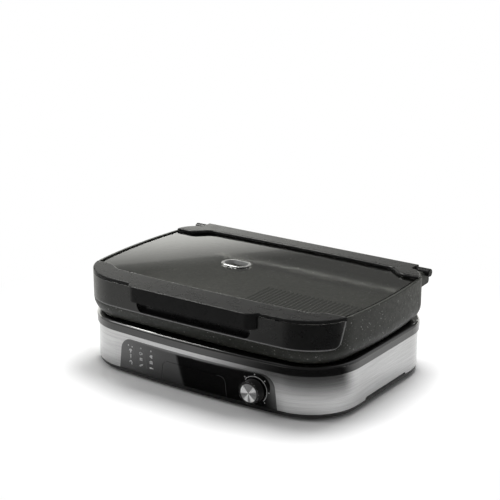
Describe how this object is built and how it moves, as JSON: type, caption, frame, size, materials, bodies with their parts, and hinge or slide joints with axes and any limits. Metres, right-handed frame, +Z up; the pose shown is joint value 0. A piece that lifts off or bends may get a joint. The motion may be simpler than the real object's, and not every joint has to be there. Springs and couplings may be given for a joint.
{
  "type": "table grill",
  "caption": "Electric table grill: heated base with steel band, drip drawer and knob, lift-off stone-coated pan with ribbed floor, hinged smoked-glass lid with vent and handle.",
  "frame": {"origin": "middle of the bounding box in plan, at the floor under the rubber feet", "axes": "+X to the right seen from the front, +Y to the back, +Z up; the handle and knob face -Y"},
  "size_m": [0.495, 0.3646, 0.165],
  "materials": {
    "base_plastic": "fine matte moulded plastic",
    "foot_rubber": "matte rubber",
    "brushed_band": "brushed along the length of the band",
    "gloss_black": "high gloss",
    "knob_black": "satin gloss",
    "satin_black": "satin moulded plastic",
    "stone_coating": "dark stone-look non-stick coating with pale specks",
    "smoked_glass": "smoked tempered glass",
    "bright_trim": "polished metal trim",
    "spun_aluminium": "spun in circles",
    "reflector_sheet": "bright pressed sheet",
    "element_sheath": "heat-tinted steel sheath",
    "zinc_steel": "zinc plated",
    "resin": "moulded heat-proof resin",
    "wire_insulation": "silicone insulation",
    "brass_pin": "plain brass"
  },
  "bodies": {
    "base": {"base_tray": "base_plastic", "rubber_feet": "foot_rubber", "base_screws": "zinc_steel", "steel_band": "brushed_band", "control_panel": "gloss_black", "panel_screws": "zinc_steel", "top_ring": "gloss_black", "heat_reflector": "reflector_sheet", "reflector_screws": "zinc_steel", "heating_element": "element_sheath", "heater_clips": "zinc_steel", "terminal_block": "resin", "thermal_fuse": "resin", "thermostat": "resin", "thermostat_bracket": "zinc_steel", "thermostat_screws": "zinc_steel", "lead_wires": "wire_insulation", "power_inlet": "base_plastic", "inlet_pins": "brass_pin", "tray_rails": "base_plastic", "pan_pads": "foot_rubber"},
    "knob": {"knob_barrel": "knob_black", "knob_ring": "bright_trim", "knob_cap": "spun_aluminium", "thermostat_shaft": "zinc_steel"},
    "drip_tray": {"drip_tray_tub": "base_plastic", "drip_tray_front": "gloss_black"},
    "pan": {"grill_pan": "stone_coating", "front_cover": "satin_black", "cover_screws": "zinc_steel"},
    "lid": {"lid_glass": "smoked_glass", "vent_ring": "bright_trim", "vent_clip": "bright_trim", "lid_front_frame": "satin_black", "front_gasket": "foot_rubber", "front_clamp": "base_plastic", "lid_rear_frame": "satin_black", "rear_gasket": "foot_rubber", "clamp_screws": "zinc_steel", "hinge_rod": "zinc_steel", "lid_pads": "foot_rubber"}
  },
  "joints": [
    {"name": "pan_lift", "type": "slide", "parent": "base", "child": "pan", "axis": [0, 0, 1], "range_m": [0, 0.12]},
    {"name": "lid_hinge", "type": "hinge", "parent": "pan", "child": "lid", "pos_m": [0, 0.1577, 0.1565], "axis": [-1, 0, 0], "range_deg": [0, 100]},
    {"name": "drip_tray_slide", "type": "slide", "parent": "base", "child": "drip_tray", "axis": [0, -1, 0], "range_m": [0, 0.17]},
    {"name": "knob_turn", "type": "hinge", "parent": "base", "child": "knob", "pos_m": [0.1125, -0.17, 0.0365], "axis": [0, 1, 0], "range_deg": [0, 180]}
  ]
}
